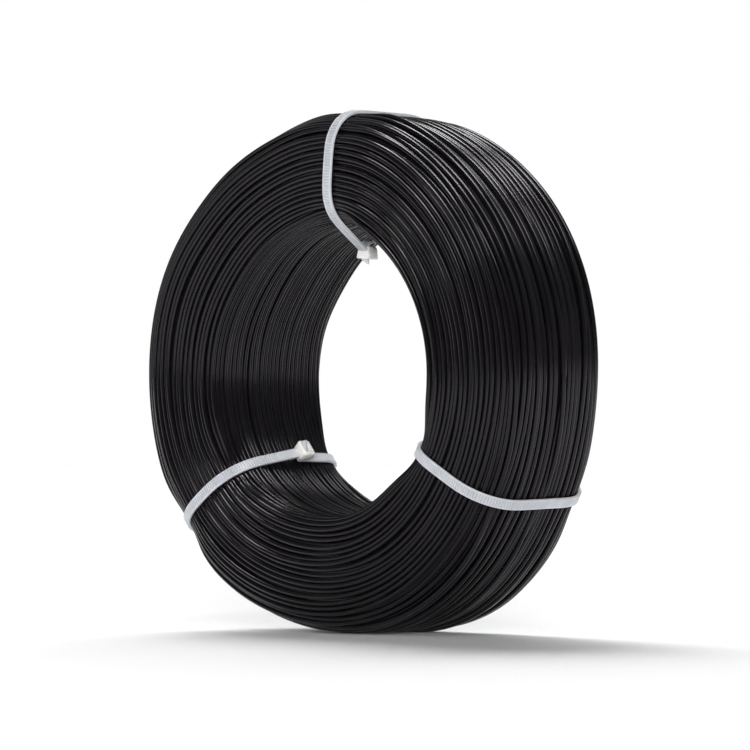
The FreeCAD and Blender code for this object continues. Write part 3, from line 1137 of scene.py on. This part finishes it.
    def path(self) -> np.ndarray:
        """The route with its corners rounded and its bends run out gently, as points at even steps.

        Returns:
            Rows of section-plane points.
        """
        route = self.route()
        points = [route[0][0]]
        arc_points = 25
        for (before, _), (corner, radius), (after, _) in zip(route, route[1:], route[2:]):
            back = unit(before - corner)
            ahead = unit(after - corner)
            half = math.acos(float(np.clip(back @ ahead, -1, 1))) / 2
            reach = radius / math.tan(half)
            centre = corner + unit(back + ahead) * radius / math.sin(half)
            first, last = corner + back * reach - centre, corner + ahead * reach - centre
            start = math.atan2(first[1], first[0])
            sweep = (math.atan2(last[1], last[0]) - start + math.pi) % (2 * math.pi) - math.pi
            for share in np.linspace(0, 1, arc_points):
                angle = start + sweep * share
                points.append(centre + radius * np.array([math.cos(angle), math.sin(angle)]))
        points.append(route[-1][0])
        corners = np.array(points)
        runs = run_lengths(corners)
        even = np.linspace(0, runs[-1], round(runs[-1] / self.path_step))
        sharp = along(corners, runs, even)
        spread = self.ease / self.path_step
        reach = math.ceil(BELL_REACH * spread)
        weights = bell(np.arange(-reach, reach + 1) / spread)
        weights /= weights.sum()
        wide = np.pad(sharp, ((reach, reach), (0, 0)), mode="reflect", reflect_type="odd")
        eased = np.stack([np.convolve(wide[:, axis], weights, mode="valid") for axis in (0, 1)], axis=1)
        share = np.clip((even - runs[arc_points]) / (2 * self.ease), 0, 1)
        return sharp + (eased - sharp) * (share * share * (3 - 2 * share))[:, None]

    def press(self, places: np.ndarray, clock: np.ndarray, depth: float) -> np.ndarray:
        """Press turns down that would stand into the strap.

        Args:
            places: radial and axial place of each point.
            clock: clock angle of each, in radians.
            depth: how far the points stay below the strap's inner face.

        Returns:
            The places.
        """
        turned = clock - math.radians(self.clock.value)
        away = places[:, 0] * np.sin(turned) - places[:, 1] * math.tan(math.radians(self.skew))
        away[np.cos(turned) < 0] = FAR_OFF
        hold = bell(np.maximum(np.abs(away) - self.press_half, 0) / self.press_ease)
        near = np.flatnonzero(hold > self.least_hold)
        line = self.path()
        ways = unit_rows(np.gradient(line, axis=0))
        on_coil = line[:, 0] > self.sizes.bore_radius - self.wall_reach
        line, ways = line[on_coil], ways[on_coil]
        gaps = places[near][:, None] - line[None]
        closest = np.linalg.norm(gaps, axis=2).argmin(axis=1)
        outward = outward_rows(ways[closest])
        lift = (gaps[np.arange(len(near)), closest] * outward).sum(axis=1)
        room = -(self.thickness / 2 + depth + self.press_gap)
        pressed = places.copy()
        pressed[near] -= outward * (np.maximum(lift - room, 0) * hold[near])[:, None]
        return pressed

    def stations(self, length: float) -> list[tuple[float, float]]:
        """Places along the strap with the depth of its ladder there.

        Args:
            length: length of the strap.

        Returns:
            Pairs of place and depth.
        """
        groove, crest = self.tooth_depth, self.crest_depth
        # Shares of a tooth's pitch with the depth there.
        tooth_form = ((0.35, groove), (0.58, crest), (0.88, crest), (0.96, groove))
        ladder_end = ((0.1, groove), (0.7, 0.0))
        teeth = int((length - self.smooth_root) / self.tooth_pitch)
        found = [(0.0, groove)]
        for tooth in range(teeth):
            start = tooth * self.tooth_pitch
            found += [(start + share * self.tooth_pitch, depth) for share, depth in tooth_form]
        end = teeth * self.tooth_pitch
        found += [(end + share * self.tooth_pitch, depth) for share, depth in ladder_end]
        rest = np.linspace(end + self.tooth_pitch, length, self.root_stations)
        return found + [(float(place), 0.0) for place in rest]

    def strap(self, material: bpy.types.Material) -> bpy.types.Object:
        """The strap: a flat band with a ladder between two rails, laid along the route.

        Args:
            material: the nylon's finish.

        Returns:
            The piece.
        """
        path = self.path()
        runs = run_lengths(path)
        stations = self.stations(runs[-1])
        half, top = self.width / 2, self.thickness / 2
        columns = [-half, -half + self.edge, -self.ladder_half - self.ladder_side, -self.ladder_half]
        columns += [-column for column in reversed(columns)]
        form = bmesh.new()
        bmesh.ops.create_grid(form, x_segments=len(stations) - 1, y_segments=len(columns) - 1, size=0.5)
        groove = form.verts.layers.float.new(GROOVE)
        for vertex in form.verts:
            place, depth = stations[round((vertex.co.x + 0.5) * (len(stations) - 1))]
            column = round((vertex.co.y + 0.5) * (len(columns) - 1))
            across = columns[column]
            place = max(place, (across + half) * self.tip_slope)
            height = top - (self.edge if column in (0, len(columns) - 1) else 0.0)
            if abs(across) <= self.ladder_half:
                height = top - depth
                vertex[groove] = depth / self.tooth_depth
            vertex.co = (place, across, height)
        under = bmesh.ops.extrude_face_region(form, geom=form.faces[:])
        for vertex in under["geom"]:
            if isinstance(vertex, bmesh.types.BMVert):
                rim = abs(abs(vertex.co.y) - half) < self.edge / 2
                vertex.co.z = -top + (self.edge if rim else 0.0)
                vertex[groove] = 0.0
        spots = np.array([vertex.co.x for vertex in form.verts])
        points = along(path, runs, spots)
        ahead = along(path, runs, spots + self.path_step)
        ways = unit_rows(ahead - along(path, runs, spots - self.path_step))
        placing = self.placing()
        for vertex, point, way in zip(form.verts, points, ways):
            outward = Vector((-way[1], way[0])) * vertex.co.z
            vertex.co = placing @ Vector((point[0] + outward.x, point[1] + outward.y, vertex.co.y))
        piece = piece_from(f"tie_{self.label}_band", form, self.strap_crease, material)
        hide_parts(f"tie_{self.label}_strap")
        return piece

    def cut_hole(self, form: bmesh.types.BMesh, start: float, end: float, half: float) -> None:
        """Cut a square hole through the head's height.

        Args:
            form: the head's bmesh, in its own length, width and height.
            start: where the hole starts along the head's length.
            end: where it ends.
            half: half its width.
        """
        block = new_object("head_block", mesh_from("head_block", form.copy()))
        hole = bmesh.new()
        bmesh.ops.create_cube(hole, size=1.0)
        bmesh.ops.scale(hole, vec=(end - start, 2 * half, 3 * self.head_height), verts=hole.verts)
        bmesh.ops.translate(hole, vec=((start + end) / 2, 0, 0), verts=hole.verts)
        cutter = new_object("head_cutter", mesh_from("head_cutter", hole))
        cut = block.modifiers.new("hole", "BOOLEAN")
        cut.operation = "DIFFERENCE"
        cut.solver = "EXACT"
        cut.object = cutter
        result = bpy.data.meshes.new_from_object(block.evaluated_get(bpy.context.evaluated_depsgraph_get()))
        form.clear()
        form.from_mesh(result)
        for spent in (block, cutter):
            bpy.data.meshes.remove(spent.data)
        bpy.data.meshes.remove(result)

    def head(self, material: bpy.types.Material) -> bpy.types.Object:
        """The head: a rounded block with the strap's slot and the pawl's cavity.

        Args:
            material: the nylon's finish.

        Returns:
            The piece.
        """
        form = bmesh.new()
        bmesh.ops.create_cube(form, size=1.0)
        bmesh.ops.translate(form, vec=(0, 0, 0.5), verts=form.verts)
        bmesh.ops.scale(form, vec=(self.head_length, self.head_width, self.head_height), verts=form.verts)
        base = [vertex for vertex in form.verts if vertex.co.z < TINY]
        bmesh.ops.scale(form, vec=(self.head_taper, self.head_taper, 1), verts=base)

        def level(edge: bmesh.types.BMEdge) -> bool:
            """Whether an edge keeps its height."""
            return abs(edge.verts[0].co.z - edge.verts[1].co.z) < TINY

        round_off(form, [edge for edge in form.edges if not level(edge)], self.head_corner, segments=5)
        sharp = math.radians(self.rim_angle)
        rims = [edge for edge in form.edges if level(edge) and edge.calc_face_angle(0) > sharp]
        round_off(form, rims, self.head_rim, segments=4)
        bmesh.ops.recalc_face_normals(form, faces=form.faces)
        slot_start = -self.head_length / 2 + self.head_wall
        slot_end = slot_start + self.slot_length
        self.cut_hole(form, slot_start, slot_end, self.slot_half)
        self.cut_hole(form, slot_end - TINY, slot_end + self.cavity_length, self.cavity_half)
        bmesh.ops.transform(form, matrix=self.head_placing(), verts=form.verts)
        piece = piece_from(f"tie_{self.label}_block", form, self.head_crease, material)
        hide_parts(f"tie_{self.label}_head")
        return piece

    def dress_pawl(self, material: bpy.types.Material) -> bpy.types.Object:
        """Give the pawl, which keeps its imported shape, the head's finish.

        Args:
            material: the head's finish.

        Returns:
            The pawl's node.
        """
        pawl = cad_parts[f"tie_{self.label}_pawl"]
        pawl.data.materials.clear()
        pawl.data.materials.append(material)
        return pawl


class Light(Enum):
    """What a lamp gives: soft light on surfaces, or only its reflection in them."""

    SOFT = "soft"
    GLOSS = "gloss"


@dataclass(frozen=True)
class Lamp:
    """A distant lamp, placed as seen from the camera.

    Attributes:
        name: its name.
        side: its direction from the object, in degrees from straight away from the camera towards the right.
        rise: its height angle, in degrees.
        strength: its strength.
        angle: angle that it spans in the sky, in degrees.
        lights: what it gives.
    """

    name: str
    side: float
    rise: float
    strength: float
    angle: float
    lights: Light


LAMPS = (
    Lamp("back_soft_light", -6.0, 30.0, 3.2, 50.0, Light.SOFT),
    Lamp("back_high_light", -15.0, 50.0, 1.3, 24.0, Light.SOFT),
    Lamp("front_light", 180.0, 9.0, 2.6, 14.0, Light.SOFT),
    Lamp("front_high_light", 180.0, 46.0, 0.4, 14.0, Light.SOFT),
    Lamp("gloss_front_top", 177.0, 74.7, 2.5, 20.0, Light.GLOSS),
    Lamp("gloss_back_top", -51.4, 77.0, 3.0, 20.0, Light.GLOSS),
    Lamp("gloss_right_side", 162.5, 53.7, 1.0, 20.0, Light.GLOSS),
    Lamp("gloss_right_top", 57.0, 70.0, 0.7, 20.0, Light.GLOSS),
)


@dataclass
class Studio:
    """White floor and surround, soft lights and the camera.

    Attributes:
        azimuth: camera's side, in degrees.
        elevation: camera's height angle, in degrees.
        distance: from the camera to the point it looks at.
        aim_across: how far that point lies to the camera's right of the coil's middle.
        aim_height: its height.
        focal_pixels: focal length in pixels of the picture.
        picture: pixels across the picture.
        fill: strength of the light that the surround gives.
        front: how bright the room on the camera's side is in reflections.
        behind: how bright the backdrop on the far side is in reflections.
        backdrop_start: how far round the backdrop begins, as a cosine from straight away from the camera.
        backdrop_full: where it has its full brightness.
        floor_radius: the floor's radius.
        floor_tone: its colour, a plain grey level.
        floor_glow: light of its own that the camera and reflections see.
    """

    azimuth: float = 43.6
    elevation: float = -1.13
    distance: float = 1.5
    aim_across: float = 1.8 * MM
    aim_height: float = 90.4 * MM
    focal_pixels: float = 4262.0
    picture: int = 750
    fill: float = 0.03
    front: float = 0.08
    behind: float = 0.3
    backdrop_start: float = -0.2
    backdrop_full: float = 0.5
    floor_radius: float = 30.0
    floor_tone: float = 0.97
    floor_glow: float = 0.02

    def camera(self) -> bpy.types.Object:
        """Make the camera and set it as the scene's.

        Returns:
            The camera.
        """
        data = bpy.data.cameras.new("photo_camera")
        data.sensor_width = 36.0
        data.lens = self.focal_pixels * data.sensor_width / self.picture
        data.clip_start, data.clip_end = 0.05, 100.0
        turn, rise = math.radians(self.azimuth), math.radians(self.elevation)
        back = Vector((math.sin(turn) * math.cos(rise), -math.cos(turn) * math.cos(rise), math.sin(rise)))
        right = Vector((math.cos(turn), math.sin(turn), 0))
        made = bpy.data.objects.new("photo_camera", data)
        made.location = right * self.aim_across + Vector((0, 0, self.aim_height)) + back * self.distance
        made.rotation_euler = (-back).to_track_quat("-Z", "Y").to_euler()
        bpy.context.scene.collection.objects.link(made)
        bpy.context.scene.camera = made
        return made

    def sun(self, lamp: Lamp) -> None:
        """Add a soft distant lamp.

        Args:
            lamp: its name, place and light.
        """
        data = bpy.data.lights.new(lamp.name, "SUN")
        data.energy = lamp.strength
        data.angle = math.radians(lamp.angle)
        made = bpy.data.objects.new(lamp.name, data)
        right = Vector((math.cos(math.radians(self.azimuth)), math.sin(math.radians(self.azimuth)), 0))
        away = Vector((-right.y, right.x, 0))
        side, rise = math.radians(lamp.side), math.radians(lamp.rise)
        level = right * math.sin(side) + away * math.cos(side)
        towards = level * math.cos(rise) + Vector((0, 0, math.sin(rise)))
        made.rotation_euler = towards.to_track_quat("Z", "Y").to_euler()
        made.visible_diffuse = lamp.lights is Light.SOFT
        made.visible_glossy = lamp.lights is Light.GLOSS
        bpy.context.scene.collection.objects.link(made)

    def ray_masks(self, sheet: NodeSheet) -> tuple[bpy.types.NodeSocket, bpy.types.NodeSocket]:
        """Masks of the rays that show floor and surround themselves.

        Args:
            sheet: the material's or world's node sheet.

        Returns:
            The mask of camera rays, and that of glossy and transmission rays.
        """
        path = sheet.node("ShaderNodeLightPath")
        mirrored = sheet.math("MAXIMUM", path.outputs["Is Glossy Ray"], path.outputs["Is Transmission Ray"])
        return path.outputs["Is Camera Ray"], mirrored

    def surround(self) -> None:
        """White surround that gives a plain level of light, dimmer in reflections."""
        world = bpy.data.worlds.new("white surround")
        world.use_nodes = True
        bpy.context.scene.world = world
        sheet = NodeSheet(world.node_tree)
        glow = world.node_tree.nodes["Background"]
        preset(glow, {"Color": WHITE})
        direction = sheet.node("ShaderNodeTexCoord").outputs["Generated"]
        away = sheet.node("ShaderNodeVectorMath", operation="DOT_PRODUCT")
        turn = math.radians(self.azimuth)
        away.inputs[1].default_value = (-math.sin(turn), math.cos(turn), 0.0)
        sheet.link(direction, away.inputs[0])
        backdrop = sheet.node("ShaderNodeMapRange", interpolation_type="SMOOTHSTEP")
        preset(backdrop, {"From Min": self.backdrop_start, "From Max": self.backdrop_full})
        preset(backdrop, {"To Min": self.front, "To Max": self.behind})
        sheet.link(away.outputs["Value"], backdrop.inputs["Value"])
        direct, mirrored = self.ray_masks(sheet)
        reflected = sheet.math("MULTIPLY", mirrored, backdrop.outputs["Result"])
        seen = sheet.math("MAXIMUM", direct, reflected)
        unseen = sheet.math("SUBTRACT", 1.0, sheet.math("MAXIMUM", direct, mirrored))
        lit = sheet.math("MULTIPLY", unseen, self.fill)
        sheet.link(sheet.math("ADD", lit, seen), glow.inputs["Strength"])

    def floor(self) -> bpy.types.Object:
        """White floor that keeps the object's shadow.

        Returns:
            The floor.
        """
        form = bmesh.new()
        bmesh.ops.create_circle(form, cap_ends=True, radius=self.floor_radius, segments=64)
        made = new_object("studio_floor", mesh_from("studio_floor", form))
        material, sheet, shader = new_material("white floor")
        preset(shader, {"Base Color": (self.floor_tone, self.floor_tone, self.floor_tone, 1.0)})
        preset(shader, {"Roughness": 0.9, "Specular IOR Level": 0.0, "Emission Color": WHITE})
        seen = sheet.math("MAXIMUM", *self.ray_masks(sheet))
        sheet.link(sheet.math("MULTIPLY", seen, self.floor_glow), shader.inputs["Emission Strength"])
        made.data.materials.append(material)
        return made

    def build(self) -> None:
        """Set up floor, surround, lamps and camera."""
        scene = bpy.context.scene
        scene.view_settings.view_transform = "Standard"
        self.floor()
        self.surround()
        for lamp in LAMPS:
            self.sun(lamp)
        self.camera()


def tie_specs(sizes: CoilSizes) -> list[CableTie]:
    """The three ties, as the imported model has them.

    Args:
        sizes: the coil's sizes.

    Returns:
        The ties.
    """
    return [
        CableTie(
            sizes, Clock.TOP, skew=1.7, head_place=-4.8 * MM, stand_off=6.0 * MM,
            front_rim_bend=13.0 * MM, front_rim_shift=0.6 * MM, front_bend=12.7 * MM,
        ),
        CableTie(
            sizes, Clock.LEFT, skew=-2.0, head_place=3.7 * MM, stand_off=3.8 * MM,
            front_rim_bend=16.0 * MM, front_rim_shift=-0.2 * MM, front_bend=16.5 * MM, back_rim_bend=5.0 * MM,
        ),
        CableTie(
            sizes, Clock.RIGHT, skew=2.0, head_place=6.0 * MM, stand_off=3.0 * MM,
            front_rim_bend=10.0 * MM, front_rim_shift=-0.8 * MM, front_bend=15.4 * MM,
        ),
    ]


def main() -> None:
    """Build the coil, its ties and the studio."""
    logging.basicConfig(level=logging.INFO, format="%(message)s")
    sizes = CoilSizes.from_frame()
    LOG.info("coil radius %.4f, bore %.4f, half width %.4f, axis %.4f", *vars(sizes).values())
    Studio().build()
    black = FilamentFinish().material(sizes.axis_height)
    # The strap's ladder grooves get a painted shade.
    strap_nylon = NylonFinish(
        "strap nylon", low=(0.55, 0.57, 0.60), high=(0.63, 0.65, 0.68), milk=0.25, depth=0.4 * MM,
        painted_groove_shade=(0.80, 0.80, 0.82),
    ).material()
    head_nylon = NylonFinish(
        "head nylon", low=(0.80, 0.79, 0.74), high=(0.88, 0.87, 0.83), milk=0.5, depth=1.2 * MM,
    ).material()
    ties = tie_specs(sizes)
    pieces = Winding(sizes, ties).build(black)
    pieces.append(UnderTurns(sizes, ties).build(black))
    for tie in ties:
        pieces.append(tie.strap(strap_nylon))
        pieces.append(tie.head(head_nylon))
        pieces.append(tie.dress_pawl(head_nylon))
    for piece in pieces:
        LOG.info("%s: %d faces", piece.name, len(piece.data.polygons))


if __name__ == "__main__":
    main()
